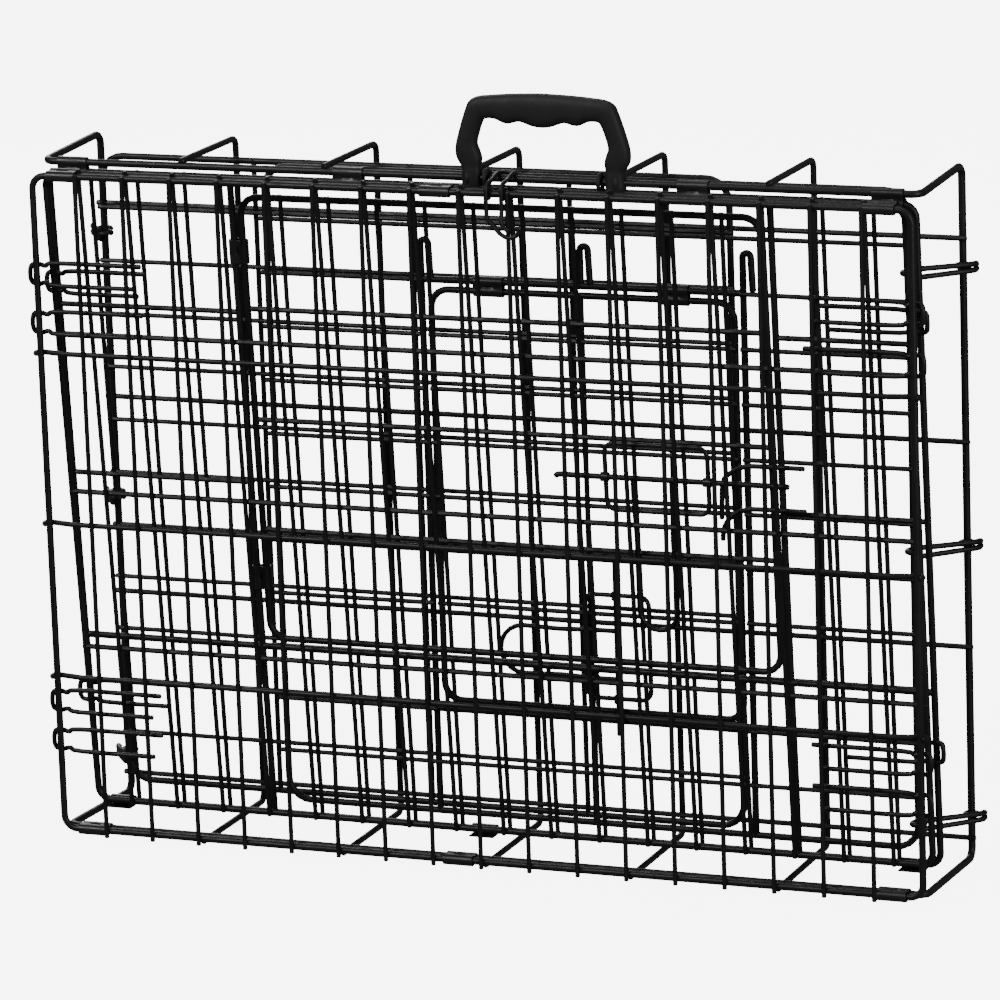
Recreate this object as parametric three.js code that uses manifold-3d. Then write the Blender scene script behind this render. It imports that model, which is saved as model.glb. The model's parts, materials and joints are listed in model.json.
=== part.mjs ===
// Folding wire dog crate, folded flat and standing on its long edge, in millimetres.
// +X runs along the crate's length, +Z is up and -Y faces whoever carries it.
// The floor panel is the far layer. In front of it lie the two end panels, the door side,
// the roof and, nearest, the plain side. The origin is under the middle floor wire.
import * as THREE from 'three';
import { mergeVertices } from 'three/addons/utils/BufferGeometryUtils.js';
import Module from 'manifold-3d';

const wasm = await Module();
wasm.setup();

// ---- driving dimensions ----
const LENGTH = 762;
const WIDTH = 580;
const THICKNESS = 140;
const CELLS = 18;
const PITCH = LENGTH / CELLS;
const FLOOR_WIRE_STEP = 3;

// wire sections
const HEAVY = 5;
const FRAME = 4.5;
const MEDIUM = 3.5;
const THIN = 3;
const WELD = 0.5;
const NUB = 3;
const GAP = 0.3;

// depth of each layer
const NEAR_FACE = -THICKNESS / 2;
const FAR_FACE = THICKNESS / 2;
const COLUMN_OFFSET = FRAME / 2 + THIN / 2 - WELD;
const ROW_OFFSET = 0.6;
const PLAIN_SIDE_Y = NEAR_FACE + THIN / 2 + COLUMN_OFFSET;
const FLOOR_Y = FAR_FACE - HEAVY / 2;
const LEFT_END_Y = 50;
const RIGHT_END_Y = 30;
const RAIL_GAP = 8;
const ROOF_INSET = 8;
const ROOF_TOP_RISE = 1;
const ROOF_FOOT_RISE = 2;

// hinge lines, as [y, z]
const LOWER_RAIL = [PLAIN_SIDE_Y + RAIL_GAP, HEAVY + FRAME / 2 - WELD];
const PLAIN_SIDE_FOOT = [PLAIN_SIDE_Y, LOWER_RAIL[1]];
const UPPER_RAIL = [-41, WIDTH - HEAVY - FRAME / 2 + WELD];
const DOOR_SIDE_TOP = [UPPER_RAIL[0], UPPER_RAIL[1] - RAIL_GAP];
const DOOR_SIDE_FOOT = [-5, 16];
const PLAIN_SIDE_TOP = [PLAIN_SIDE_Y, UPPER_RAIL[1] - RAIL_GAP];
const ROOF_TOP = [PLAIN_SIDE_Y + RAIL_GAP, PLAIN_SIDE_TOP[1] + ROOF_TOP_RISE];
const ROOF_FOOT = [DOOR_SIDE_FOOT[0] - RAIL_GAP, DOOR_SIDE_FOOT[1] + ROOF_FOOT_RISE];

// rows of wire, as shares of a panel's height
const PLAIN_SIDE_ROWS = [0.237, 0.473, 0.733];
const ROOF_ROWS = [0.25, 0.5, 0.75];
const DOOR_ROWS = [0.25, 0.5, 0.75];
const FLOOR_ROWS_Z = [24, 182, 350, 514];

// end panels
const END_HEIGHT = 560;
const END_BARS = 12;
const END_FOOT_Z = 16;
const END_WIDTH = WIDTH - 2 * END_FOOT_Z;
const END_BAR_PITCH = END_WIDTH / END_BARS;
const LEFT_END_INSET = 11;
const RIGHT_END_INSET = 36;
const LEFT_END_HINGE_X = LEFT_END_INSET - LENGTH / 2;
const RIGHT_END_HINGE_X = LENGTH / 2 - RIGHT_END_INSET;
const END_CROSS = [1, 2, 3];
const MIDDLE_CROSS = 2;
const LINK_BARS = [0.5, 5.5, 10.5];
const HAIRPIN_BAR = 10.6;
const HAIRPIN_GAP = 7;
const HAIRPIN_BACK = 28;

// bend radii at the corners of a wire frame
const CORNER = 12;
const END_CORNER = 20;
const DOOR_CORNER = 16;
const CORNER_STEPS = 3;

// door side: whole columns, and heights measured down from its top rail
const WHOLE_COLUMNS = [1, 2, 3, 16, 17];
const DOOR_POSTS = [4, 15];
const DOOR_SIDE_INSET = 4;
const DOOR_TOP = -14;
const DOOR_SILL = -403;
const DOOR_SIDE_ROWS = [-114, -260];
const DOOR_SIDE_CATCHES = { upper: -94, lower: -452 };
const SIDE_DOOR_CLIPS = [-62, -342];
const SIDE_BOLT_Z = -235;

// clips, catches, latches and the handle
const CLIP_WIDTH = 22;
const CLIP_SHEET = 1;
const MIDDLE_CLIP_CELL = 8.5;
const UPPER_CLIP_CELLS = [6.5, 13.5];
const END_DOOR_CLIPS = [0.2, 0.8];
const DOOR_CLIP_TALL = 20;
const SLEEVE_LONG = 7;
const CLIP_CLEARANCE = 3.6;
const DOOR_GAP = 3.5;
const HANDLE_CENTRE_X = 1.5 * PITCH;
const HANDLE_FOOT_SPAN = 103;
const HANDLE_FOOT = 17;
const HANDLE_THICK = 14;
const HANDLE_HEIGHT = 76;
const CURVE_STEPS = 4;

// ---- finishes ----
const enamel = new THREE.MeshStandardMaterial({ color: 0x131313, roughness: 0.42, metalness: 0.35 });
const clipSteel = new THREE.MeshStandardMaterial({ color: 0x1c1c1d, roughness: 0.36, metalness: 0.5 });
const plastic = new THREE.MeshStandardMaterial({ color: 0x242424, roughness: 0.58, metalness: 0 });

// ---- solids ----
function toSolid(geometry) {
  const bare = geometry.index ? geometry.toNonIndexed() : geometry.clone();
  bare.deleteAttribute('normal');
  bare.deleteAttribute('uv');
  const merged = mergeVertices(bare, 1e-5);
  return new wasm.Manifold(new wasm.Mesh({
    numProp: 3,
    vertProperties: new Float32Array(merged.attributes.position.array),
    triVerts: new Uint32Array(merged.index.array),
  }));
}

function toGeometry(solid) {
  const mesh = solid.getMesh();
  const geometry = new THREE.BufferGeometry();
  geometry.setAttribute('position', new THREE.BufferAttribute(mesh.vertProperties, 3));
  geometry.setIndex(new THREE.BufferAttribute(mesh.triVerts, 1));
  geometry.computeVertexNormals();
  return geometry;
}

function weld(solids) {
  return wasm.Manifold.union(solids);
}

function block(x, y, z) {
  const box = new THREE.BoxGeometry(x[1] - x[0], y[1] - y[0], z[1] - z[0]);
  box.translate((x[0] + x[1]) / 2, (y[0] + y[1]) / 2, (z[0] + z[1]) / 2);
  return toSolid(box);
}

function around(centre, size) {
  return [centre - size / 2, centre + size / 2];
}

// A wire along X, along Y or along Z, given by its centre line.
const wireX = (x, y, z, size) => block(x, around(y, size), around(z, size));
const wireY = (x, y, z, size) => block(around(x, size), y, around(z, size));
const wireZ = (x, y, z, size) => block(around(x, size), around(y, size), z);

function roundedOutline(x, z, radius) {
  const outline = new THREE.Shape();
  outline.moveTo(x[0] + radius, z[0]);
  outline.lineTo(x[1] - radius, z[0]);
  outline.absarc(x[1] - radius, z[0] + radius, radius, -Math.PI / 2, 0);
  outline.absarc(x[1] - radius, z[1] - radius, radius, 0, Math.PI / 2);
  outline.absarc(x[0] + radius, z[1] - radius, radius, Math.PI / 2, Math.PI);
  outline.absarc(x[0] + radius, z[0] + radius, radius, Math.PI, 1.5 * Math.PI);
  return outline;
}

// Extrudes an outline drawn in X and Z by a depth centred on y.
function plateXZ(outline, depth, y, segments) {
  const options = { depth, bevelEnabled: false, curveSegments: segments };
  const geometry = new THREE.ExtrudeGeometry(outline, options);
  geometry.rotateX(Math.PI / 2);
  geometry.translate(0, y + depth / 2, 0);
  return toSolid(geometry);
}

// Extrudes an outline drawn in Y and Z along X.
function plateYZ(points, x) {
  const outline = new THREE.Shape(points.map(([y, z]) => new THREE.Vector2(y, z)));
  const geometry = new THREE.ExtrudeGeometry(outline, { depth: x[1] - x[0], bevelEnabled: false });
  geometry.rotateX(Math.PI / 2);
  geometry.rotateZ(Math.PI / 2);
  geometry.translate(x[0], 0, 0);
  return toSolid(geometry);
}

// A closed wire frame whose outside is x by z.
function wireRing(x, z, size, y = 0, radius = CORNER) {
  const outline = roundedOutline(x, z, radius);
  const inside = [[x[0] + size, x[1] - size], [z[0] + size, z[1] - size]];
  outline.holes.push(roundedOutline(inside[0], inside[1], radius - size));
  return plateXZ(outline, size, y, CORNER_STEPS);
}

const columnX = (index) => (index - CELLS / 2) * PITCH;
const indices = (from, to) => Array.from({ length: to - from + 1 }, (unused, i) => from + i);

const crate = new THREE.Group();

function add(name, solid, material, place = [0, 0, 0], lean = 0) {
  const mesh = new THREE.Mesh(toGeometry(solid), material);
  mesh.name = name;
  mesh.position.set(...place);
  mesh.rotation.x = lean;
  crate.add(mesh);
}

// A quarter turn in the XZ plane, from along X to along Z.
function turned(solid) {
  return solid.rotate([0, 90, 0]);
}

// The lean of a panel that hangs from one hinge line to another.
function leanOf(top, foot) {
  return Math.atan2(foot[0] - top[0], top[1] - foot[1]);
}

function lengthOf(top, foot) {
  return Math.hypot(foot[0] - top[0], top[1] - foot[1]);
}

// ---- floor tray: heavy wires bent forward along the top and bottom edges ----
const floorColumns = indices(0, CELLS / FLOOR_WIRE_STEP).map((i) => {
  const edge = LENGTH / 2 - HEAVY / 2;
  return Math.max(-edge, Math.min(edge, columnX(i * FLOOR_WIRE_STEP)));
});

function floorGrid() {
  const wires = floorColumns.map((x) => wireZ(x, FLOOR_Y, [HEAVY + GAP, WIDTH - HEAVY - GAP], HEAVY));
  const rowY = FLOOR_Y - HEAVY / 2 - MEDIUM / 2 + WELD;
  const ends = [-LENGTH / 2, LENGTH / 2];
  return weld(wires.concat(FLOOR_ROWS_Z.map((z) => wireX(ends, rowY, z, MEDIUM))));
}

function lip(rail, wireZCentre) {
  const nearEnd = rail[0] - FRAME / 2;
  const wires = floorColumns.map((x) => wireY(x, [nearEnd, FAR_FACE], wireZCentre, HEAVY));
  return weld([wireX([-LENGTH / 2, LENGTH / 2], rail[0], rail[1], FRAME), ...wires]);
}

// ---- plain side, roof and door side ----
function plainSide() {
  const height = PLAIN_SIDE_TOP[1] - PLAIN_SIDE_FOOT[1];
  const x = [-LENGTH / 2, LENGTH / 2];
  const ring = wireRing(x, [-FRAME / 2, height + FRAME / 2], FRAME);
  const columns = indices(1, CELLS - 1).map((i) => {
    return wireZ(columnX(i), -COLUMN_OFFSET, [-FRAME / 2 - NUB, height + FRAME / 2], THIN);
  });
  const rows = PLAIN_SIDE_ROWS.map((part) => {
    return wireX([x[0] + FRAME / 2, x[1] - FRAME / 2], -ROW_OFFSET, part * height, MEDIUM);
  });
  return weld([ring, ...columns, ...rows]);
}

function roof() {
  const height = lengthOf(ROOF_TOP, ROOF_FOOT);
  const x = [ROOF_INSET - LENGTH / 2, LENGTH / 2 - ROOF_INSET];
  const ring = wireRing(x, [-height - FRAME / 2, FRAME / 2], FRAME);
  const columns = indices(1, CELLS - 1).map((i) => {
    return wireZ(columnX(i), -COLUMN_OFFSET, [-height - FRAME / 2, FRAME / 2 + NUB], THIN);
  });
  const rows = ROOF_ROWS.map((part) => {
    return wireX([x[0] + FRAME / 2, x[1] - FRAME / 2], -ROW_OFFSET, -part * height, MEDIUM);
  });
  return weld([ring, ...columns, ...rows]);
}

const DOOR_SIDE_EDGE = LENGTH / 2 - DOOR_SIDE_INSET;

function doorSide() {
  const height = lengthOf(DOOR_SIDE_TOP, DOOR_SIDE_FOOT);
  const x = [-DOOR_SIDE_EDGE, DOOR_SIDE_EDGE];
  const span = [-height - FRAME / 2, FRAME / 2];
  const ring = wireRing(x, span, FRAME);
  const posts = DOOR_POSTS.map((i) => wireZ(columnX(i), 0, [-height, 0], FRAME));
  const full = WHOLE_COLUMNS.map((i) => wireZ(columnX(i), COLUMN_OFFSET, span, THIN));
  const short = indices(DOOR_POSTS[0] + 1, DOOR_POSTS[1] - 1).map((i) => {
    return wireZ(columnX(i), COLUMN_OFFSET, [span[0], DOOR_SILL + FRAME / 2], THIN);
  });
  const sill = wireX([x[0] + FRAME / 2, x[1] - FRAME / 2], 0, DOOR_SILL, FRAME - WELD);
  const rows = DOOR_SIDE_ROWS.flatMap((z) => [
    wireX([x[0] + FRAME / 2, columnX(DOOR_POSTS[0])], ROW_OFFSET, z, MEDIUM),
    wireX([columnX(DOOR_POSTS[1]), x[1] - FRAME / 2], ROW_OFFSET, z, MEDIUM),
  ]);
  return weld([ring, ...posts, ...full, ...short, sill, ...rows]);
}

const SIDE_DOOR_X = [
  columnX(DOOR_POSTS[0]) + RAIL_GAP - FRAME / 2,
  columnX(DOOR_POSTS[1]) - FRAME / 2 - DOOR_GAP,
];
const SIDE_DOOR_Z = [DOOR_SILL + FRAME / 2 + DOOR_GAP, DOOR_TOP];

function sideDoor() {
  const ring = wireRing(SIDE_DOOR_X, SIDE_DOOR_Z, FRAME, 0, DOOR_CORNER);
  const columns = indices(DOOR_POSTS[0] + 1, DOOR_POSTS[1] - 1).map((i) => {
    return wireZ(columnX(i), COLUMN_OFFSET, SIDE_DOOR_Z, THIN);
  });
  const tall = SIDE_DOOR_Z[1] - SIDE_DOOR_Z[0];
  const rows = DOOR_ROWS.map((part) => {
    const inner = [SIDE_DOOR_X[0] + FRAME / 2, SIDE_DOOR_X[1] - FRAME / 2];
    return wireX(inner, ROW_OFFSET, SIDE_DOOR_Z[0] + part * tall, MEDIUM);
  });
  return weld([ring, ...columns, ...rows]);
}

// ---- end panels: thin bars along X, heavier cross wires along Z ----
const END_Z = [END_FOOT_Z, END_FOOT_Z + END_WIDTH];
const endBarZ = (index) => END_FOOT_Z + index * END_BAR_PITCH;
const END_QUARTER = END_HEIGHT / 4;

function leftEnd() {
  const x = [LEFT_END_HINGE_X - FRAME / 2, LEFT_END_HINGE_X + END_HEIGHT];
  const ring = wireRing(x, END_Z, FRAME, LEFT_END_Y, END_CORNER);
  const bars = indices(1, END_BARS - 1).map((i) => {
    return wireX(x, LEFT_END_Y - COLUMN_OFFSET, endBarZ(i), THIN);
  });
  const cross = END_CROSS.map((i) => {
    return wireZ(LEFT_END_HINGE_X + i * END_QUARTER, LEFT_END_Y - ROW_OFFSET, END_Z, MEDIUM);
  });
  return weld([ring, ...bars, ...cross]);
}

// The opening of the end door, in cells of the right end panel.
const END_DOOR_BARS = [2, 10];
const END_DOOR_QUARTERS = [1, 3];
const HOOK_TOP_Z = endBarZ(HAIRPIN_BAR);
const rightCrossX = (index) => RIGHT_END_HINGE_X - index * END_QUARTER;
const END_OPENING_X = [rightCrossX(END_DOOR_QUARTERS[1]), rightCrossX(END_DOOR_QUARTERS[0])];
const END_OPENING_Z = END_DOOR_BARS.map(endBarZ);

// A cross wire ends in a hairpin that hooks over a side wall when the crate stands open.
function hairpinWire(x, y, foot) {
  const tall = wireZ(x, y, [foot, HOOK_TOP_Z], FRAME);
  const back = wireZ(x + HAIRPIN_GAP, y, [HOOK_TOP_Z - HAIRPIN_BACK, HOOK_TOP_Z], FRAME);
  const span = [x - FRAME / 2, x + HAIRPIN_GAP + FRAME / 2];
  const bend = wireX(span, y, HOOK_TOP_Z + FRAME / 2 - WELD, FRAME);
  return weld([tall, back, bend]);
}

function rightEnd() {
  const x = [RIGHT_END_HINGE_X - END_HEIGHT, RIGHT_END_HINGE_X + FRAME / 2];
  const y = RIGHT_END_Y;
  const ring = wireRing(x, END_Z, FRAME, y, END_CORNER);
  const barY = y - COLUMN_OFFSET;
  const bars = indices(1, END_BARS - 1).flatMap((i) => {
    const z = endBarZ(i);
    if (i < END_DOOR_BARS[0] || i > END_DOOR_BARS[1]) {
      return [wireX(x, barY, z, THIN)];
    }
    return [wireX([x[0], END_OPENING_X[0]], barY, z, THIN), wireX([END_OPENING_X[1], x[1]], barY, z, THIN)];
  });
  const hooks = END_DOOR_QUARTERS.map((i) => hairpinWire(rightCrossX(i), y, END_Z[0]));
  const sills = END_OPENING_Z.map((z) => wireX(END_OPENING_X, y, z, FRAME - WELD));
  const middle = rightCrossX(MIDDLE_CROSS);
  const above = hairpinWire(middle, y, END_OPENING_Z[1]);
  const below = wireZ(middle, y, [END_Z[0], END_OPENING_Z[0]], FRAME);
  return weld([ring, ...bars, ...hooks, ...sills, above, below]);
}

const END_DOOR_X = [END_OPENING_X[0] + FRAME / 2 + DOOR_GAP, END_OPENING_X[1] - FRAME / 2 - DOOR_GAP];
const END_DOOR_Z = [END_OPENING_Z[0] + FRAME / 2 + DOOR_GAP, END_OPENING_Z[1] - RAIL_GAP + FRAME / 2];

function endDoor() {
  const ring = wireRing(END_DOOR_X, END_DOOR_Z, FRAME, RIGHT_END_Y, DOOR_CORNER);
  const bars = indices(END_DOOR_BARS[0] + 1, END_DOOR_BARS[1] - 1).map((i) => {
    return wireX(END_DOOR_X, RIGHT_END_Y - COLUMN_OFFSET, endBarZ(i), THIN);
  });
  const middle = (END_DOOR_X[0] + END_DOOR_X[1]) / 2;
  const inner = [END_DOOR_Z[0] + FRAME / 2, END_DOOR_Z[1] - FRAME / 2];
  const cross = wireZ(middle, RIGHT_END_Y - ROW_OFFSET, inner, MEDIUM);
  return weld([ring, ...bars, cross]);
}

// ---- sheet clips that wrap two rails ----
// Rails lie at a and b, as [y, z]; the clip is a rectangular sleeve around both.
function railClip(a, b, x) {
  const reach = CLIP_CLEARANCE + CLIP_SHEET;
  const y = [Math.min(a[0], b[0]), Math.max(a[0], b[0])];
  const z = [Math.min(a[1], b[1]), Math.max(a[1], b[1])];
  const outer = block(x, [y[0] - reach, y[1] + reach], [z[0] - reach, z[1] + reach]);
  const bore = [x[0] - CLIP_SHEET, x[1] + CLIP_SHEET];
  const clear = CLIP_CLEARANCE;
  return outer.subtract(block(bore, [y[0] - clear, y[1] + clear], [z[0] - clear, z[1] + clear]));
}

// The clip at the foot of the door side holds that rail and is open towards the roof's rail.
function openClip(x) {
  const [y, z] = DOOR_SIDE_FOOT;
  const near = ROOF_FOOT[0] - FRAME / 2;
  const c = CLIP_CLEARANCE - WELD;
  const s = CLIP_SHEET;
  return plateYZ([
    [near, z - c - s], [y + c + s, z - c - s], [y + c + s, z + c + s], [y - c, z + c + s],
    [y - c, z + c], [y + c, z + c], [y + c, z - c], [near, z - c],
  ], x);
}

const EDGE_CLIP_X = columnX(CELLS - 1) + THIN / 2 + CLIP_SHEET + CLIP_WIDTH / 2;
const clipSpan = (centre) => around(centre, CLIP_WIDTH);

// A link is closed round a floor wire at a and round an end panel's hinge wire at b, as [x, y].
const LINK_TALL = 12;
const LINK_STRAP = 3;
function endLink(a, b, zCentre) {
  const z = around(zCentre, LINK_TALL);
  const cut = around(zCentre, LINK_TALL + 2 * CLIP_SHEET);
  const eye = (c, clear, zSpan) => block(around(c[0], 2 * clear), around(c[1], 2 * clear), zSpan);
  const tight = HEAVY / 2 + GAP;
  const strap = block([Math.min(a[0], b[0]), Math.max(a[0], b[0])], around(b[1], LINK_STRAP), z);
  const riser = block(around(a[0], LINK_STRAP), [b[1] - LINK_STRAP / 2, a[1]], z);
  const outside = [eye(a, tight + CLIP_SHEET, z), eye(b, CLIP_CLEARANCE + CLIP_SHEET, z)];
  return weld([...outside, strap, riser]).subtract(weld([eye(a, tight, cut), eye(b, CLIP_CLEARANCE, cut)]));
}

// ---- corner catches: hairpins of thin wire that stand out past a panel's edge ----
const CATCH_REACH = 5;
const CATCH_TALL = 22;
function cornerCatch(side, edge, inward, y, zCentre) {
  const tip = side * (edge + CATCH_REACH);
  const root = side * (edge - inward);
  const x = [Math.min(tip, root), Math.max(tip, root)];
  const arms = [-1, 1].map((s) => wireX(x, y, zCentre + s * (CATCH_TALL - THIN) / 2, THIN));
  return weld([...arms, wireZ(tip - side * THIN / 2, y, around(zCentre, CATCH_TALL), THIN)]);
}

// ---- slide bolts: a rod with a long finger loop, in a wire guide with two sleeves ----
const BOLT = 4;
const BOLT_PAST_POST = 8;
const SIDE_BOLT = { rod: [-87, 113], loop: [-21, 13], drop: 128 };
const END_BOLT = { rod: [-75, 75], loop: [-14, 27], drop: 103 };
const LOOP_WIRE = 2.4;
const GUIDE_WIRE = 1.7;
const GUIDE_HALF = 44;
const GUIDE_TALL = 28;
const SLEEVE = BOLT / 2 + GAP + CLIP_SHEET;
const BOLT_STANDOFF = GAP + SLEEVE;

function slideBolt({ rod, loop, drop }) {
  const legs = loop.map((x) => wireZ(x, 0, [-drop, 0], LOOP_WIRE));
  const foot = wireX([loop[0] - LOOP_WIRE / 2, loop[1] + LOOP_WIRE / 2], 0, -drop, LOOP_WIRE - GAP);
  return weld([wireX(rod, 0, 0, BOLT), ...legs, foot]);
}

function boltGuide() {
  const y = SLEEVE - GUIDE_WIRE / 2;
  const clear = around(0, BOLT + 2 * GAP);
  const hole = block([-GUIDE_HALF - SLEEVE_LONG, GUIDE_HALF + SLEEVE_LONG], clear, clear);
  const sides = [-GUIDE_HALF, GUIDE_HALF].flatMap((x) => [
    block(around(x, SLEEVE_LONG), around(0, 2 * SLEEVE), around(0, 2 * SLEEVE)),
    wireZ(x, y, [-GUIDE_TALL, GUIDE_TALL], GUIDE_WIRE),
  ]);
  const edges = [-GUIDE_TALL, GUIDE_TALL].map((z) => {
    return wireX([-GUIDE_HALF - GUIDE_WIRE / 2, GUIDE_HALF + GUIDE_WIRE / 2], y, z, GUIDE_WIRE - GAP);
  });
  return weld([...sides, ...edges]).subtract(hole);
}

// ---- carry handle: two barrels snapped on the upper rail, legs and a finger grip ----
const BARREL_RADIUS = 5.4;
const BARREL_SIDES = 16;
const NECK_TOP = 8;
const GRIP_DEPTH = 19;
const SCALLOPS = 4;

// heights above the rail, and how far each part of a leg stands out from or in from its foot
const NECK = { top: 18, insideTop: 20 };
const KNUCKLE = { out: 9, z: 28, top: 38, taper: 2 };
const KNEE = { in: 4, z: 33 };
const SHOULDER = { in: 4, drop: 8, run: 10 };
const GRIP_END = 10;
const SCALLOP_RISE = 6;

function handleOutline() {
  const half = HANDLE_FOOT_SPAN / 2;
  const foot = HANDLE_FOOT / 2;
  const knuckle = half + foot + KNUCKLE.out;
  const under = HANDLE_HEIGHT - GRIP_DEPTH;
  const edge = HANDLE_HEIGHT - SHOULDER.drop;
  const shoulder = half - SHOULDER.in;
  const bend = shoulder - SHOULDER.in;
  const top = bend - SHOULDER.run;
  const outline = new THREE.Shape();
  outline.moveTo(-half - foot, NECK_TOP);
  outline.lineTo(-half - foot, NECK.top);
  outline.lineTo(-knuckle, KNUCKLE.z);
  outline.lineTo(KNUCKLE.taper - knuckle, KNUCKLE.top);
  outline.lineTo(-shoulder, edge);
  outline.quadraticCurveTo(-bend, HANDLE_HEIGHT, -top, HANDLE_HEIGHT);
  outline.lineTo(top, HANDLE_HEIGHT);
  outline.quadraticCurveTo(bend, HANDLE_HEIGHT, shoulder, edge);
  outline.lineTo(knuckle - KNUCKLE.taper, KNUCKLE.top);
  outline.lineTo(knuckle, KNUCKLE.z);
  outline.lineTo(half + foot, NECK.top);
  outline.lineTo(half + foot, NECK_TOP);
  outline.lineTo(half - foot, NECK_TOP);
  outline.lineTo(half - foot, NECK.insideTop);
  outline.lineTo(half - foot + KNEE.in, KNEE.z);
  const inner = half - GRIP_END;
  outline.lineTo(inner, under);
  const step = 2 * inner / SCALLOPS;
  indices(0, SCALLOPS - 1).forEach((i) => {
    const from = inner - i * step;
    outline.quadraticCurveTo(from - step / 2, under + SCALLOP_RISE, from - step, under);
  });
  outline.lineTo(foot - half - KNEE.in, KNEE.z);
  outline.lineTo(foot - half, NECK.insideTop);
  outline.lineTo(foot - half, NECK_TOP);
  return outline;
}

function handle() {
  const feet = [-1, 1].flatMap((side) => {
    const x = around(side * HANDLE_FOOT_SPAN / 2, HANDLE_FOOT);
    const barrel = new THREE.CylinderGeometry(BARREL_RADIUS, BARREL_RADIUS, HANDLE_FOOT, BARREL_SIDES);
    barrel.rotateZ(Math.PI / 2);
    barrel.translate(side * HANDLE_FOOT_SPAN / 2, 0, 0);
    return [toSolid(barrel), block(x, around(0, 2 * BARREL_RADIUS), [0, NECK_TOP + WELD])];
  });
  const body = weld([plateXZ(handleOutline(), HANDLE_THICK, 0, CURVE_STEPS), ...feet]);
  const clear = 2 * CLIP_CLEARANCE;
  const bore = block([-HANDLE_FOOT_SPAN, HANDLE_FOOT_SPAN], around(0, clear), around(0, clear));
  return body.subtract(bore);
}

// ---- closing hook: a double wire pivoting on the plain side's top rail ----
const HOOK_X = [25, 38];
const HOOK_PATH = [[-5, -26], [-5, 5], [-2, 8.6], [10, 9.3], [20, 12.2], [29, 12.2]];

function closingHook() {
  const half = THIN / 2;
  const link = (x, from, to) => {
    const run = [to[0] - from[0], to[1] - from[1]];
    const long = Math.hypot(run[0], run[1]) + 2 * half;
    const box = new THREE.BoxGeometry(THIN, long, THIN);
    box.rotateX(Math.atan2(run[1], run[0]));
    box.translate(x, (from[0] + to[0]) / 2, (from[1] + to[1]) / 2);
    return toSolid(box);
  };
  const arms = HOOK_X.flatMap((x) => HOOK_PATH.slice(1).map((point, i) => link(x, HOOK_PATH[i], point)));
  const ends = [HOOK_PATH[0], HOOK_PATH[HOOK_PATH.length - 1]];
  const bars = ends.map(([y, z]) => wireX([HOOK_X[0] - half, HOOK_X[1] + half], y, z, THIN - GAP));
  return weld([...arms, ...bars]);
}

// ---- assembly ----
// Adds a piece drawn in the door side's own leaning frame.
function addOnDoorSide(name, solid, material, place = new THREE.Matrix4()) {
  const lean = new THREE.Group();
  lean.position.set(0, ...DOOR_SIDE_TOP);
  lean.rotation.x = leanOf(DOOR_SIDE_TOP, DOOR_SIDE_FOOT);
  const mesh = new THREE.Mesh(toGeometry(solid), material);
  mesh.name = name;
  mesh.applyMatrix4(place);
  lean.add(mesh);
  crate.add(lean);
}

add('tray_floor_grid', floorGrid(), enamel);
add('tray_upper_lip', lip(UPPER_RAIL, WIDTH - HEAVY / 2), enamel);
add('tray_lower_lip', lip(LOWER_RAIL, HEAVY / 2), enamel);
add('left_end_panel', leftEnd(), enamel);
add('right_end_panel', rightEnd(), enamel);
add('end_door', endDoor(), enamel);
add('door_side_panel', doorSide(), enamel, [0, ...DOOR_SIDE_TOP], leanOf(DOOR_SIDE_TOP, DOOR_SIDE_FOOT));
add('side_door', sideDoor(), enamel, [0, ...DOOR_SIDE_TOP], leanOf(DOOR_SIDE_TOP, DOOR_SIDE_FOOT));
add('roof_panel', roof(), enamel, [0, ...ROOF_TOP], leanOf(ROOF_TOP, ROOF_FOOT));
add('plain_side_panel', plainSide(), enamel, [0, ...PLAIN_SIDE_FOOT]);

const NEAR_CLIPS = { left: -EDGE_CLIP_X, middle: columnX(MIDDLE_CLIP_CELL), right: EDGE_CLIP_X };
for (const [name, x] of Object.entries(NEAR_CLIPS)) {
  add(`lower_hinge_clip_${name}`, railClip(PLAIN_SIDE_FOOT, LOWER_RAIL, clipSpan(x)), clipSteel);
  add(`roof_hinge_clip_${name}`, railClip(PLAIN_SIDE_TOP, ROOF_TOP, clipSpan(x)), clipSteel);
  add(`open_hinge_clip_${name}`, openClip(clipSpan(x)), clipSteel);
}
const UPPER_CLIPS = [-EDGE_CLIP_X, ...UPPER_CLIP_CELLS.map(columnX), EDGE_CLIP_X];
UPPER_CLIPS.forEach((x, i) => {
  add(`upper_hinge_clip_${i + 1}`, railClip(UPPER_RAIL, DOOR_SIDE_TOP, clipSpan(x)), clipSteel);
});

LINK_BARS.map(endBarZ).forEach((z, i) => {
  const outerWire = floorColumns[floorColumns.length - 1];
  const left = endLink([-outerWire, FLOOR_Y], [LEFT_END_HINGE_X, LEFT_END_Y], z);
  const right = endLink([outerWire, FLOOR_Y], [RIGHT_END_HINGE_X, RIGHT_END_Y], z);
  add(`left_end_link_${i + 1}`, left, enamel);
  add(`right_end_link_${i + 1}`, right, enamel);
});

// Hairpins on the two side walls that the end panels hook into when the crate stands open.
const CATCH_INWARD = { plainSide: 95, doorSide: 85 };
const CATCH_Z = { upper_outer: 482, upper_inner: 441, lower_inner: 117, lower_outer: 83 };
const SIDES = { left: -1, right: 1 };
for (const [sideName, side] of Object.entries(SIDES)) {
  for (const [level, z] of Object.entries(CATCH_Z)) {
    const y = PLAIN_SIDE_Y + FRAME / 2 + GAP + THIN / 2;
    const shape = cornerCatch(side, LENGTH / 2, CATCH_INWARD.plainSide, y, z);
    add(`plain_side_catch_${level}_${sideName}`, shape, enamel);
  }
  for (const [level, z] of Object.entries(DOOR_SIDE_CATCHES)) {
    const y = -FRAME / 2 - GAP - THIN / 2;
    const shape = cornerCatch(side, DOOR_SIDE_EDGE, CATCH_INWARD.doorSide, y, z);
    addOnDoorSide(`door_side_catch_${level}_${sideName}`, shape, enamel);
  }
}

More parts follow.
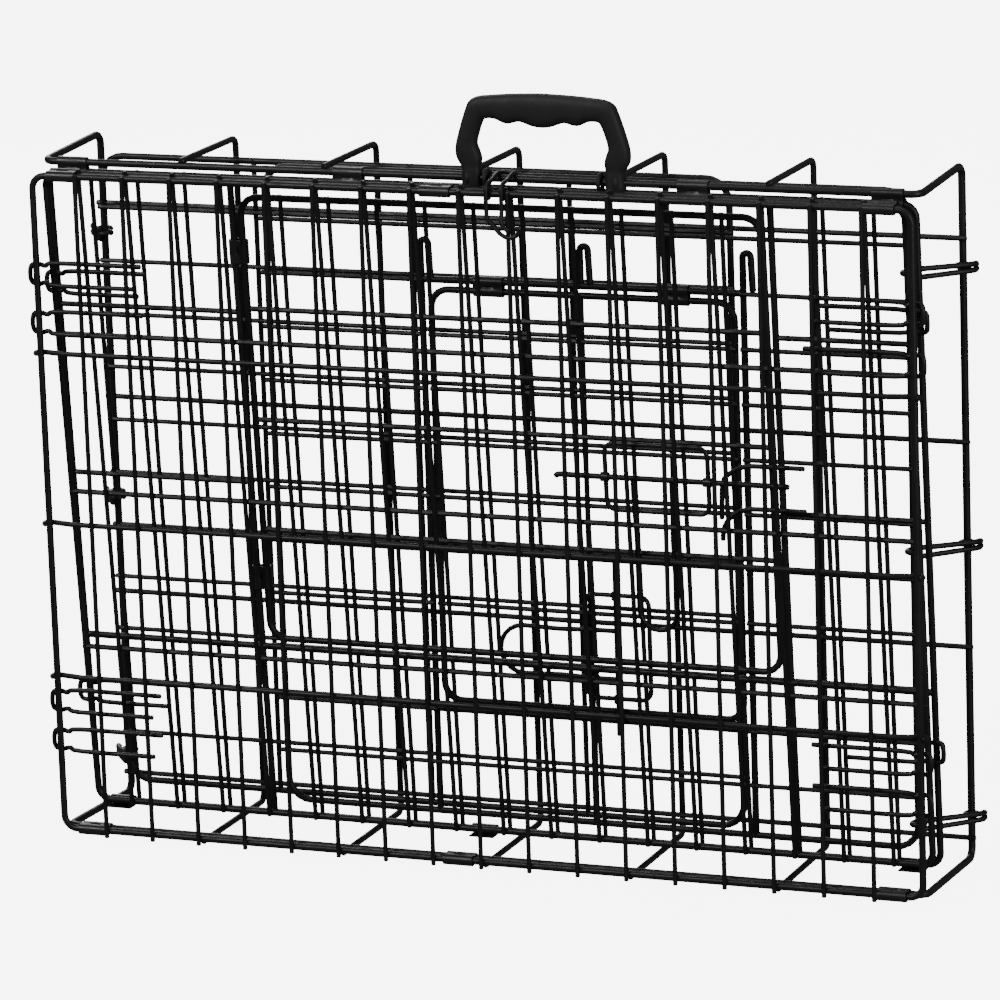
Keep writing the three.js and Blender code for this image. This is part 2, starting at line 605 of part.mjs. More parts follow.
// Side door furniture, in the door side's own leaning frame.
const doorPostX = columnX(DOOR_POSTS[0]);
const reach = CLIP_CLEARANCE + CLIP_SHEET;
SIDE_DOOR_CLIPS.forEach((z, i) => {
  const sleeve = (r, tall) => {
    return block([doorPostX - r, doorPostX + RAIL_GAP + r], around(0, 2 * r), around(z, tall));
  };
  const clip = sleeve(reach, DOOR_CLIP_TALL).subtract(sleeve(CLIP_CLEARANCE, DOOR_CLIP_TALL + CLIP_SHEET));
  addOnDoorSide(`side_door_hinge_clip_${i + 1}`, clip, clipSteel);
});

const sideBoltX = columnX(DOOR_POSTS[1]) + BOLT_PAST_POST - SIDE_BOLT.rod[1];
const sideBoltPlace = new THREE.Matrix4().makeTranslation(sideBoltX, -FRAME / 2 - BOLT_STANDOFF, SIDE_BOLT_Z);
addOnDoorSide('side_door_bolt', slideBolt(SIDE_BOLT), enamel, sideBoltPlace);
addOnDoorSide('side_door_bolt_guide', boltGuide(), clipSteel, sideBoltPlace);

// End door furniture. Its bolt slides along Z, so it is turned a quarter turn.
const END_BOLT_INSET = 160;
const doorTopRailZ = END_DOOR_Z[1] - FRAME / 2;
END_DOOR_CLIPS.forEach((part, i) => {
  const x = END_DOOR_X[0] + part * (END_DOOR_X[1] - END_DOOR_X[0]);
  const clip = railClip([RIGHT_END_Y, doorTopRailZ], [RIGHT_END_Y, END_OPENING_Z[1]], clipSpan(x));
  add(`end_door_hinge_clip_${i + 1}`, clip, clipSteel);
});

const endBoltPlace = [
  END_DOOR_X[0] + END_BOLT_INSET,
  RIGHT_END_Y - COLUMN_OFFSET - THIN / 2 - BOLT_STANDOFF,
  END_OPENING_Z[0] - FRAME / 2 - BOLT_PAST_POST + END_BOLT.rod[1],
];
add('end_door_bolt', turned(slideBolt(END_BOLT)), enamel, endBoltPlace);
add('end_door_bolt_guide', turned(boltGuide()), clipSteel, endBoltPlace);

add('carry_handle', handle(), plastic, [HANDLE_CENTRE_X, ...UPPER_RAIL]);
add('closing_hook', closingHook(), enamel, [0, ...PLAIN_SIDE_TOP]);

export default crate;
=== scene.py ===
"""A folding wire dog crate, folded flat and standing on its long edge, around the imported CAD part.

Metres; +X along the crate's length, +Z up, -Y towards the plain side, the nearest layer. A wire
is a round tube near the centre line of the CAD's square one: the same area of section, and a
coat of enamel.
"""

import json
import math
import random

import bpy
from mathutils import Matrix, Vector


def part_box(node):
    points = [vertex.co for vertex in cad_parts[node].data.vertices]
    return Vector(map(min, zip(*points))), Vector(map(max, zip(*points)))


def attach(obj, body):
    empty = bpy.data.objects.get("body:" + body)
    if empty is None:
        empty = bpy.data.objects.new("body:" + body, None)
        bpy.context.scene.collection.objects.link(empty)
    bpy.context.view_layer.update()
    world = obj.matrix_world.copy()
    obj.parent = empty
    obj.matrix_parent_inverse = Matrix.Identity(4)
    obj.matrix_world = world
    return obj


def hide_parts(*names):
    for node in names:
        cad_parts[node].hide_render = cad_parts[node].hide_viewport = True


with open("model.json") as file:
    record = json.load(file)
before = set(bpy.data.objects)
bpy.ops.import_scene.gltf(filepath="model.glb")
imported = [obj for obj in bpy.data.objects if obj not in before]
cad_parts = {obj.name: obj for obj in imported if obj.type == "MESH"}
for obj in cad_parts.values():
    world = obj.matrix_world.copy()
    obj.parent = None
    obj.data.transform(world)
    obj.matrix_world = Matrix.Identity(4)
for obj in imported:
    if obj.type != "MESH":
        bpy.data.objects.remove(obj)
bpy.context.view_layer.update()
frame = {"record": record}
BODIES = frame["record"]["behaviour"]["bodies"]
BODY_OF = {node: body for body, nodes in BODIES.items() for node in nodes}
SLOT_OF = {part["node"]: part["material_slot"] for part in frame["record"]["subparts"]}
rng = random.Random(7)
MM = 0.001

# ---- wires: SAME_AREA turns a square's side into the diameter of a circle of the same area. The
# coat of enamel is added to that diameter, and is thinner on the parts that slide or turn ----
SAME_AREA = math.sqrt(4 / math.pi)
ENAMEL = 0.85 * MM
BOLT_ENAMEL = 0.4 * MM
GUIDE_ENAMEL = 0.5 * MM
HOOK_ENAMEL = 0.3 * MM
HEAVY = 5 * MM
LIP_WIRE = 4.2 * MM
FRAME = 4.5 * MM
MEDIUM = 3.5 * MM
THIN = 3 * MM

# ---- how the wires lie on each other, off a panel's plane and past its rails ----
COLUMN_OFFSET = 3.25 * MM
ROW_OFFSET = 0.6 * MM
NUB = 3 * MM
OVERSHOOT = 2.5 * MM
END_OVERSHOOT = 4 * MM
TRAY_OVERSHOOT = 2 * MM
TRAY_ROW_SINK = 0.7 * MM

# ---- weld beads: how far off the plane, and their radii ----
WELD_OFFSET = 1.9 * MM
WELD = 2.1 * MM
RAIL_WELD = 2.2 * MM
FLOOR_WELD = 2.3 * MM
LIP_WELD = 3 * MM

# ---- sheet-metal clips ----
CLIP_REACH = 4.6 * MM
CLIP_GRIP = FRAME / 2 + 1.8 * MM
CLIP_EXTRA = 2 * MM
SHEET = 1 * MM
SHEET_EDGE = 0.28 * SHEET

# ---- counts, shares of a panel's height, and corner bends ----
CELLS = 18
FLOOR_STEP = 3
FLOOR_ROWS = (0.034, 0.312, 0.606, 0.894)
PLAIN_ROWS = (0.237, 0.473, 0.733)
QUARTERS = (0.25, 0.5, 0.75)
PANEL_BEND = 11 * MM
END_BEND = 19 * MM
DOOR_BEND = 15 * MM
TRAY_BEND = 7 * MM
TRAY_FRAME_BEND = 9 * MM
END_BARS = 12
END_LENGTH = 560 * MM
DOOR_POST_CELLS = (4, 15)
DOOR_SILL = 403 * MM
DOOR_SIDE_ROWS = (114 * MM, 260 * MM)
SIDE_DOOR_CLIPS = (62 * MM, 342 * MM)

FLOOR_LOW, FLOOR_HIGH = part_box("tray_floor_grid")
LENGTH = FLOOR_HIGH.x - FLOOR_LOW.x
PITCH = LENGTH / CELLS
TRAY_FAR = FLOOR_HIGH.y - HEAVY / 2
TRAY_EDGE = LENGTH / 2 - HEAVY / 2


def column_x(index):
    return (index - CELLS / 2) * PITCH


ALL_COLUMNS = [column_x(i) for i in range(1, CELLS)]
DOOR_POSTS = [column_x(i) for i in DOOR_POST_CELLS]
DOOR_COLUMNS = [column_x(i) for i in range(DOOR_POST_CELLS[0] + 1, DOOR_POST_CELLS[1])]
LEFT_COLUMNS = [column_x(i) for i in range(1, DOOR_POST_CELLS[0])]
RIGHT_COLUMNS = [column_x(i) for i in range(DOOR_POST_CELLS[1] + 1, CELLS)]


# ---- finishes: each noise is (scale, detail), and its useful range is NOISE_RANGE ----
PATCHES = (23, 4)
GLOSS = (140, 3)
GRAIN_DETAIL = 5
GRAIN_HEIGHT = 0.2 * MM
NOISE_RANGE = (0.3, 0.7)
LOOKS = {
    "black_enamel": {
        "colour": (0.010, 0.010, 0.010),
        "worn": (0.018, 0.018, 0.018),
        "roughness": (0.34, 0.5),
        "grain": 900,
        "bump": 0.35,
        "specular": 0.42,
    },
    "clip_steel": {
        "colour": (0.013, 0.013, 0.014),
        "worn": (0.028, 0.028, 0.029),
        "roughness": (0.26, 0.42),
        "grain": 600,
        "bump": 0.25,
        "specular": 0.5,
    },
    "handle_plastic": {
        "colour": (0.020, 0.020, 0.020),
        "worn": (0.026, 0.026, 0.026),
        "roughness": (0.5, 0.62),
        "grain": 2600,
        "bump": 0.6,
        "specular": 0.4,
    },
}


def noise_node(nodes, links, scale, detail, coordinates):
    noise = nodes.new("ShaderNodeTexNoise")
    noise.inputs["Scale"].default_value = scale
    noise.inputs["Detail"].default_value = detail
    links.new(coordinates, noise.inputs["Vector"])
    return noise.outputs["Fac"]


def mapped(nodes, links, value, low_value, high_value):
    span = nodes.new("ShaderNodeMapRange")
    span.inputs["From Min"].default_value = NOISE_RANGE[0]
    span.inputs["From Max"].default_value = NOISE_RANGE[1]
    span.inputs["To Min"].default_value = low_value
    span.inputs["To Max"].default_value = high_value
    links.new(value, span.inputs["Value"])
    return span.outputs["Result"]


def finish_of(name, colour, worn, roughness, grain, bump, specular):
    """A coated or moulded surface: colour and gloss vary a little, and a fine grain lifts it."""
    material = bpy.data.materials.new(name)
    material.use_nodes = True
    nodes, links = material.node_tree.nodes, material.node_tree.links
    shader = nodes["Principled BSDF"]
    shader.inputs["Specular IOR Level"].default_value = specular
    place = nodes.new("ShaderNodeTexCoord").outputs["Object"]
    patches = noise_node(nodes, links, *PATCHES, place)
    mix = nodes.new("ShaderNodeMix")
    mix.data_type = "RGBA"
    mix.inputs["A"].default_value = (*colour, 1)
    mix.inputs["B"].default_value = (*worn, 1)
    links.new(mapped(nodes, links, patches, 0, 1), mix.inputs["Factor"])
    links.new(mix.outputs["Result"], shader.inputs["Base Color"])
    gloss = noise_node(nodes, links, *GLOSS, place)
    links.new(mapped(nodes, links, gloss, *roughness), shader.inputs["Roughness"])
    fine = noise_node(nodes, links, grain, GRAIN_DETAIL, place)
    lift = nodes.new("ShaderNodeBump")
    lift.inputs["Strength"].default_value = bump
    lift.inputs["Distance"].default_value = GRAIN_HEIGHT
    links.new(fine, lift.inputs["Height"])
    links.new(lift.outputs["Normal"], shader.inputs["Normal"])
    return material


FINISHES = {name: finish_of(name, **look) for name, look in LOOKS.items()}


# ---- paths: a bend takes at most LONGEST_BEND of each side of its corner ----
NEARLY_STRAIGHT = math.radians(89)
LONGEST_BEND = 0.48


def bent(corners, radius, closed=False, steps=5):
    """The same path with every corner bent to a radius."""
    corners = [Vector(c) for c in corners]
    count = len(corners)
    path = []
    for i, corner in enumerate(corners):
        if not closed and i in (0, count - 1):
            path.append(corner)
            continue
        before = corners[i - 1] - corner
        after = corners[(i + 1) % count] - corner
        half = before.angle(after) / 2
        if half > NEARLY_STRAIGHT:
            path.append(corner)
            continue
        room = LONGEST_BEND * min(before.length, after.length)
        reach = min(radius / math.tan(half), room)
        middle = (before.normalized() + after.normalized()).normalized()
        centre = corner + middle * (reach / math.cos(half))
        start = corner + before.normalized() * reach - centre
        end = corner + after.normalized() * reach - centre
        for step in range(steps + 1):
            arm = start.lerp(end, step / steps).normalized() * start.length
            path.append(centre + arm)
    return path


def arc(centre, across, along, start, end, steps):
    """Points on an arc in the plane of two vectors, whose lengths are its radii."""
    angles = [math.radians(start + (end - start) * i / steps) for i in range(steps + 1)]
    return [centre + across * math.cos(a) + along * math.sin(a) for a in angles]


def smooth(points, steps=4):
    """A Catmull-Rom curve through the points."""
    points = [Vector(p) for p in points]
    ends = [points[0] * 2 - points[1], *points, points[-1] * 2 - points[-2]]
    path = []
    for a, b, c, d in zip(ends, ends[1:], ends[2:], ends[3:]):
        for step in range(steps):
            t = step / steps
            bend = (2 * a - 5 * b + 4 * c - d) * t**2
            twist = (3 * b - a - 3 * c + d) * t**3
            path.append(0.5 * (2 * b + (c - a) * t + bend + twist))
    return [*path, points[-1]]


class Plane:
    """A panel's plane, from its top rail to its foot, each given as (y, z)."""

    def __init__(self, top, foot):
        self.top = Vector((0, *top))
        down = Vector((0, *foot)) - self.top
        self.height = down.length
        self.down = down.normalized()
        self.far = Vector((0, -self.down.z, self.down.y))

    def at(self, x, down, far=0.0):
        return Vector((x, 0, 0)) + self.top + self.down * down + self.far * far

    def down_to(self, z):
        return (z - self.top.z) / self.down.z


# ---- solids; the first four are shares of a diameter or of a bead's size ----
CUT_BEVEL = 0.14
CUT_RADIUS = 0.36
BEAD_LEVELS = (-0.92, -0.5, 0.0, 0.5, 0.92)
BEAD_SQUASH = 0.7
BEAD_SIDES = 6
WIRE_SIDES = 10
ROD_SIDES = 8
BOW = (0.1 * MM, 0.5 * MM)
BOW_GROWTH = 3
BOW_STATIONS = (0, 0.25, 0.5, 0.75, 1)
SHARP_ANGLE = math.radians(42)


class Piece:
    """Gathers wires, welds and sheet into one mesh."""

    def __init__(self, enamel=ENAMEL):
        self.points = []
        self.faces = []
        self.enamel = enamel

    def add(self, points, faces):
        start = len(self.points)
        self.points += points
        self.faces += [[i + start for i in face] for face in faces]

    def loft(self, rings, closed=False, capped=True):
        """Joins rings of points, each with the same number of points."""
        count = len(rings[0])
        faces = []
        for i in range(len(rings) - (not closed)):
            here, there = i * count, (i + 1) % len(rings) * count
            for k in range(count):
                n = (k + 1) % count
                faces.append([here + k, here + n, there + n, there + k])
        if capped and not closed:
            last = (len(rings) - 1) * count
            faces.append(list(range(count))[::-1])
            faces.append([last + k for k in range(count)])
        self.add([p for ring in rings for p in ring], faces)

    def wire(self, path, diameter, closed=False, sides=WIRE_SIDES):
        """A round wire along a path; its cut ends are slightly broken."""
        path = [Vector(p) for p in path]
        diameter = diameter * SAME_AREA + self.enamel
        radii = [diameter / 2] * len(path)
        if not closed:
            nick = diameter * CUT_BEVEL
            first, last = (path[1] - path[0]).normalized(), (path[-2] - path[-1]).normalized()
            path = [path[0], path[0] + first * nick, *path[1:-1], path[-1] + last * nick, path[-1]]
            radii = [diameter * CUT_RADIUS, *radii, diameter * CUT_RADIUS]
        count = len(path)
        rings = []
        normal = None
        for i, point in enumerate(path):
            before = path[i - 1] if i or closed else point
            after = path[(i + 1) % count] if i < count - 1 or closed else point
            along = (after - before).normalized()
            normal = along.orthogonal() if normal is None else normal - along * normal.dot(along)
            normal.normalize()
            side = along.cross(normal)
            rings.append(
                [
                    point + (normal * math.cos(a) + side * math.sin(a)) * radii[i]
                    for a in (2 * math.pi * k / sides for k in range(sides))
                ]
            )
        self.loft(rings, closed)

    def rod(self, start, end, diameter, sides=ROD_SIDES):
        """A straight wire with a slight bow, which is less on a short one."""
        start, end = Vector(start), Vector(end)
        along = (end - start).normalized()
        sideways = along.orthogonal().normalized()
        sideways.rotate(Matrix.Rotation(rng.uniform(0, math.tau), 3, along))
        bow = sideways * rng.uniform(*BOW) * min(1, (end - start).length * BOW_GROWTH)
        path = [start.lerp(end, t) + bow * math.sin(math.pi * t) for t in BOW_STATIONS]
        self.wire(path, diameter, sides=sides)

    def weld_spot(self, centre, size):
        """The flattened bead where two wires are spot welded."""
        angles = [math.tau * k / BEAD_SIDES for k in range(BEAD_SIDES)]
        rings = []
        for level in BEAD_LEVELS:
            wide = math.sqrt(1 - level * level) * size
            deep = wide * BEAD_SQUASH
            rings.append(
                [centre + Vector((math.cos(a) * wide, math.sin(a) * deep, level * size)) for a in angles]
            )
        self.loft(rings)

    def sheet(self, sections, closed):
        """Sheet metal: each section is one centre line across the sheet, and they follow each other."""
        half = SHEET / 2
        last = len(sections) - 1
        stations = [(0, half - SHEET_EDGE), *[(i, half) for i in range(last + 1)]]
        stations.append((last, half - SHEET_EDGE))
        along = (sections[-1][0] - sections[0][0]).normalized()
        rings = []
        for number, (i, thick) in enumerate(stations):
            shift = along * SHEET_EDGE * ((number == 1) - (number == len(stations) - 2))
            line = [p + shift for p in sections[i]]
            count = len(line)
            outside, inside = [], []
            for k, point in enumerate(line):
                before = line[k - 1] if k or closed else point
                after = line[(k + 1) % count] if k < count - 1 or closed else point
                out = (after - before).normalized().cross(along)
                outside.append(point + out * thick)
                inside.append(point - out * thick)
            rings.append((outside, inside))
        if closed:
            for side in (0, 1):
                self.loft([r[side] for r in rings], capped=False)
            for r in (rings[0], rings[-1]):
                self.loft([r[0], r[1]], capped=False)
        else:
            self.loft([r[0] + r[1][::-1] for r in rings])

    def done(self, name, *nodes):
        """Makes the piece, which rides with the nodes that it replaces."""
        mesh = bpy.data.meshes.new(name)
        mesh.from_pydata(self.points, [], self.faces)
        mesh.materials.append(FINISHES[SLOT_OF[nodes[0]]])
        mesh.polygons.foreach_set("use_smooth", [True] * len(mesh.polygons))
        mesh.set_sharp_from_angle(angle=SHARP_ANGLE)
        mesh.update()
        piece = bpy.data.objects.new(name, mesh)
        bpy.context.scene.collection.objects.link(piece)
        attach(piece, BODY_OF[nodes[0]])
        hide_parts(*nodes)


# ---- hinge lines, read from the CAD's rails and clips, as (y, z) ----
upper_low, upper_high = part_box("tray_upper_lip")
lower_low, lower_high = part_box("tray_lower_lip")
UPPER_RAIL = (upper_low.y + FRAME / 2, upper_low.z + FRAME / 2)
LOWER_RAIL = (lower_low.y + FRAME / 2, lower_high.z - FRAME / 2)
plain_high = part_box("plain_side_panel")[1]
PLAIN_TOP = (plain_high.y - FRAME / 2, plain_high.z - FRAME / 2)
PLAIN_FOOT = (plain_high.y - FRAME / 2, LOWER_RAIL[1])
DOOR_SIDE_TOP = (UPPER_RAIL[0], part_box("upper_hinge_clip_2")[0].z + CLIP_REACH)
roof_clip_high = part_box("roof_hinge_clip_middle")[1]
ROOF_TOP = (roof_clip_high.y - CLIP_REACH, roof_clip_high.z - CLIP_REACH)
open_clip_low, open_clip_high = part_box("open_hinge_clip_middle")
OPEN_CLIP_NEAR = open_clip_low.y
OPEN_CLIP_REACH = 4.1 * MM
ROOF_FOOT_RISE = 2 * MM
DOOR_SIDE_FOOT = (open_clip_high.y - OPEN_CLIP_REACH, (open_clip_low.z + open_clip_high.z) / 2)
ROOF_FOOT = (OPEN_CLIP_NEAR + FRAME / 2, DOOR_SIDE_FOOT[1] + ROOF_FOOT_RISE)

plain_plane = Plane(PLAIN_TOP, PLAIN_FOOT)
roof_plane = Plane(ROOF_TOP, ROOF_FOOT)
door_plane = Plane(DOOR_SIDE_TOP, DOOR_SIDE_FOOT)


def centre_lines(node):
    """The x of a panel's two outer wires."""
    low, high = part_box(node)
    return low.x + FRAME / 2, high.x - FRAME / 2


def ring(piece, plane, x, down, bend):
    """A closed wire frame on centre lines x and down."""
    corners = [(x[0], down[0]), (x[1], down[0]), (x[1], down[1]), (x[0], down[1])]
    piece.wire(bent([plane.at(*c) for c in corners], bend, closed=True), FRAME, closed=True)


def grid(piece, plane, columns, column_span, rows, row_span, side, over=OVERSHOOT):
    """Thin upright wires welded to medium rows, on one side of the panel's plane."""
    for x in columns:
        piece.rod(
            plane.at(x, column_span[0], side * COLUMN_OFFSET),
            plane.at(x, column_span[1], side * COLUMN_OFFSET),
            THIN,
        )
    for down in rows:
        piece.rod(
            plane.at(row_span[0] - over, down, side * ROW_OFFSET),
            plane.at(row_span[1] + over, down, side * ROW_OFFSET),
            MEDIUM,
        )
        for x in columns:
            if row_span[0] <= x <= row_span[1] and column_span[0] <= down <= column_span[1]:
                piece.weld_spot(plane.at(x, down, side * WELD_OFFSET), WELD)


def rail_welds(piece, plane, columns, downs, side):
    for down in downs:
        for x in columns:
            piece.weld_spot(plane.at(x, down, side * WELD_OFFSET), RAIL_WELD)


# ---- floor tray ----
def build_tray():
    tray = Piece()
    far, edge = TRAY_FAR, TRAY_EDGE
    top, foot = upper_high.z - HEAVY / 2, lower_low.z + HEAVY / 2
    xs = [max(-edge, min(edge, column_x(i))) for i in range(0, CELLS + 1, FLOOR_STEP)]
    row_y = far - HEAVY / 2 - MEDIUM / 2 + TRAY_ROW_SINK
    row_end = LENGTH / 2 + TRAY_OVERSHOOT
    rows = [share * (top + foot) for share in FLOOR_ROWS]
    frame_path = [
        (-edge, *LOWER_RAIL), (edge, *LOWER_RAIL), (edge, far, foot), (edge, far, top),
        (edge, *UPPER_RAIL), (-edge, *UPPER_RAIL), (-edge, far, top), (-edge, far, foot),
    ]
    tray.wire(bent(frame_path, TRAY_FRAME_BEND, closed=True), HEAVY, closed=True)
    for x in xs:
        if abs(x) < edge:
            corners = [(x, upper_low.y, top), (x, far, top), (x, far, foot), (x, lower_low.y, foot)]
            tray.wire(bent(corners, TRAY_BEND), LIP_WIRE)
            for rail in (UPPER_RAIL, LOWER_RAIL):
                tray.weld_spot(Vector((x, *rail)), LIP_WELD)
        for z in rows:
            tray.weld_spot(Vector((x, far - HEAVY / 2, z)), FLOOR_WELD)
    for z in rows:
        tray.rod((-row_end, row_y, z), (row_end, row_y, z), MEDIUM)
    tray.done("tray_wires", "tray_floor_grid", "tray_upper_lip", "tray_lower_lip")


# ---- plain side: its rows hook round the end wires of the frame ----
ROW_GRIP = (FRAME + MEDIUM) / 2
ROW_HOOK = (
    (-22 * MM, -ROW_OFFSET),
    (-8 * MM, 0.6 * ROW_GRIP),
    (0, ROW_GRIP),
    (0.8 * ROW_GRIP, 0.6 * ROW_GRIP),
    (ROW_GRIP, -0.25 * ROW_GRIP),
    (0.6 * ROW_GRIP, -0.95 * ROW_GRIP),
)


def hooked_row(piece, plane, edge, down):
    """A row from -edge to edge, whose ends wrap the frame's end wires: ROW_HOOK is (out, far)."""
    left = [plane.at(-edge - out, down, far) for out, far in ROW_HOOK]
    right = [plane.at(edge + out, down, far) for out, far in ROW_HOOK]
    piece.wire(smooth(left[::-1], 3) + smooth(right, 3), MEDIUM)


def build_plain_side():
    panel = Piece()
    edge = LENGTH / 2 - FRAME / 2
    height = plain_plane.height
    ring(panel, plain_plane, (-edge, edge), (0, height), PANEL_BEND)
    span = (-FRAME / 2, height + FRAME / 2 + NUB)
    rows = [(1 - share) * height for share in PLAIN_ROWS]
    grid(panel, plain_plane, ALL_COLUMNS, span, [], (-edge, edge), -1)
    for down in rows:
        hooked_row(panel, plain_plane, edge, down)
    rail_welds(panel, plain_plane, ALL_COLUMNS, [0, *rows, height], -1)
    panel.done("plain_side_wires", "plain_side_panel")


def build_roof():
    panel = Piece()
    x = centre_lines("roof_panel")
    height = roof_plane.height
    ring(panel, roof_plane, x, (0, height), PANEL_BEND)
    span = (-FRAME / 2 - NUB, height + FRAME / 2)
    grid(panel, roof_plane, ALL_COLUMNS, span, [q * height for q in QUARTERS], x, -1)
    rail_welds(panel, roof_plane, ALL_COLUMNS, (0, height), -1)
    panel.done("roof_wires", "roof_panel")


# Two bent keeper wires beside the side door's bolt, in mm: each is (lower than KEEPER_DOWN, droop),
# and the path is (x, down), whose last point hangs by the droop.
KEEPERS = ((-15, 30), (21, 12))
KEEPER_PATH = ((275, 0), (240, 0), (224, 1), (212, 7), (205, 16))
KEEPER_END = (203, 16)
KEEPER_DOWN = 235
KEEPER_NEAR = 5 * MM


def build_door_side():
    panel = Piece()
    x = centre_lines("door_side_panel")
    height = door_plane.height
    ring(panel, door_plane, x, (0, height), PANEL_BEND)
    for post in DOOR_POSTS:
        panel.rod(door_plane.at(post, 0), door_plane.at(post, height), FRAME, sides=WIRE_SIDES)
    panel.rod(door_plane.at(x[0], DOOR_SILL), door_plane.at(x[1], DOOR_SILL), FRAME, sides=WIRE_SIDES)
    whole = (-FRAME / 2, height + FRAME / 2)
    grid(panel, door_plane, LEFT_COLUMNS, whole, DOOR_SIDE_ROWS, (x[0], DOOR_POSTS[0]), 1)
    grid(panel, door_plane, RIGHT_COLUMNS, whole, DOOR_SIDE_ROWS, (DOOR_POSTS[1], x[1]), 1)
    grid(panel, door_plane, DOOR_COLUMNS, (DOOR_SILL - FRAME / 2, whole[1]), [], x, 1)
    rail_welds(panel, door_plane, LEFT_COLUMNS + RIGHT_COLUMNS, (0, DOOR_SILL, height), 1)
    rail_welds(panel, door_plane, DOOR_COLUMNS, (DOOR_SILL, height), 1)
    for lower, droop in KEEPERS:
        keeper = [*KEEPER_PATH, (KEEPER_END[0], KEEPER_END[1] + droop)]
        down = KEEPER_DOWN + lower
        path = [door_plane.at(a * MM, (down + drop) * MM, -KEEPER_NEAR) for a, drop in keeper]
        panel.wire(smooth(path, 3), THIN)
    panel.done("door_side_wires", "door_side_panel")


def build_side_door():
    panel = Piece()
    low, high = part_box("side_door")
    x = centre_lines("side_door")
    down = (door_plane.down_to(high.z) + FRAME / 2, door_plane.down_to(low.z) - FRAME / 2)
    tall = down[1] - down[0]
    ring(panel, door_plane, x, down, DOOR_BEND)
    rows = [down[0] + q * tall for q in QUARTERS]
    span = (down[0] - FRAME / 2, down[1] + FRAME / 2)
    grid(panel, door_plane, DOOR_COLUMNS, span, rows, x, 1, over=0)
    rail_welds(panel, door_plane, DOOR_COLUMNS, down, 1)
    panel.done("side_door_wires", "side_door")


# ---- end panels: thin bars along X in front of heavier cross wires along Z ----
end_low, end_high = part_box("right_end_panel")
END_PITCH = (end_high.z - end_low.z) / END_BARS
END_QUARTER = END_LENGTH / 4


def bar_z(index):
    return end_low.z + index * END_PITCH


def bar_welds(piece, xs, z, y):
    for x in xs:
        piece.weld_spot(Vector((x, y - WELD_OFFSET, z)), WELD)


def build_left_end():
    panel = Piece()
    low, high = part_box("left_end_panel")
    y = high.y - FRAME / 2
    plane = Plane((y, high.z), (y, low.z))
    x = centre_lines("left_end_panel")
    ring(panel, plane, x, (FRAME / 2, plane.height - FRAME / 2), END_BEND)
    cross = [x[0] + i * END_QUARTER for i in (1, 2, 3)]
    bar = (x[0] - END_OVERSHOOT, x[1] + END_OVERSHOOT)
    for cross_x in cross:
        panel.rod((cross_x, y - ROW_OFFSET, low.z), (cross_x, y - ROW_OFFSET, high.z), MEDIUM)
    for i in range(1, END_BARS):
        z = bar_z(i)
        panel.rod((bar[0], y - COLUMN_OFFSET, z), (bar[1], y - COLUMN_OFFSET, z), THIN)
        bar_welds(panel, [x[0], *cross, x[1]], z, y)
    panel.done("left_end_wires", "left_end_panel")


END_OPENING_BARS = (2, 10)
HAIRPIN_BAR = 10.6
HAIRPIN_GAP = 7 * MM
HAIRPIN_BACK = 28 * MM
HAIRPIN_TAIL = (1.5 * MM, -1 * MM)
RIGHT_HINGE_X = end_high.x - FRAME / 2
RIGHT_CROSS = [RIGHT_HINGE_X - i * END_QUARTER for i in (1, 2, 3)]
END_OPENING_Z = [bar_z(i) for i in END_OPENING_BARS]
RIGHT_Y = end_high.y - FRAME / 2


def hairpin(piece, x, y, foot):
    """A cross wire whose top is bent over into a hook."""
    top = bar_z(HAIRPIN_BAR) + FRAME / 2
    radius = HAIRPIN_GAP / 2
    curl = arc(Vector((x + radius, y, top)), Vector((radius, 0, 0)), Vector((0, 0, radius)), 180, 0, 8)
    tail_x, tail_y = HAIRPIN_TAIL
    tail = Vector((x + HAIRPIN_GAP + tail_x, y + tail_y, top - HAIRPIN_BACK))
    piece.wire([Vector((x, y, foot)), Vector((x, y, (foot + top) / 2)), *curl, tail], FRAME)


def build_right_end():
    panel = Piece()
    y = RIGHT_Y
    plane = Plane((y, end_high.z), (y, end_low.z))
    x = (end_low.x, RIGHT_HINGE_X)
    ring(panel, plane, (x[0] + FRAME / 2, x[1]), (FRAME / 2, plane.height - FRAME / 2), END_BEND)
    opening, middle = (RIGHT_CROSS[2], RIGHT_CROSS[0]), RIGHT_CROSS[1]
    for i in range(1, END_BARS):
        z = bar_z(i)
        inside = END_OPENING_BARS[0] <= i <= END_OPENING_BARS[1]
        spans = [(x[0], opening[0]), (opening[1], x[1])] if inside else [x]
        for a, b in spans:
            panel.rod(
                (a - OVERSHOOT, y - COLUMN_OFFSET, z), (b + OVERSHOOT, y - COLUMN_OFFSET, z), THIN
            )
        bar_welds(panel, [x[0] + FRAME / 2, opening[0], opening[1], x[1]], z, y)
        if not inside:
            bar_welds(panel, [middle], z, y)
    for cross_x in opening:
        hairpin(panel, cross_x, y, end_low.z)
    hairpin(panel, middle, y, END_OPENING_Z[1])
    panel.rod((middle, y, end_low.z), (middle, y, END_OPENING_Z[0]), FRAME, sides=WIRE_SIDES)
    for z in END_OPENING_Z:
        panel.rod((opening[0], y, z), (opening[1], y, z), FRAME, sides=WIRE_SIDES)
    panel.done("right_end_wires", "right_end_panel")


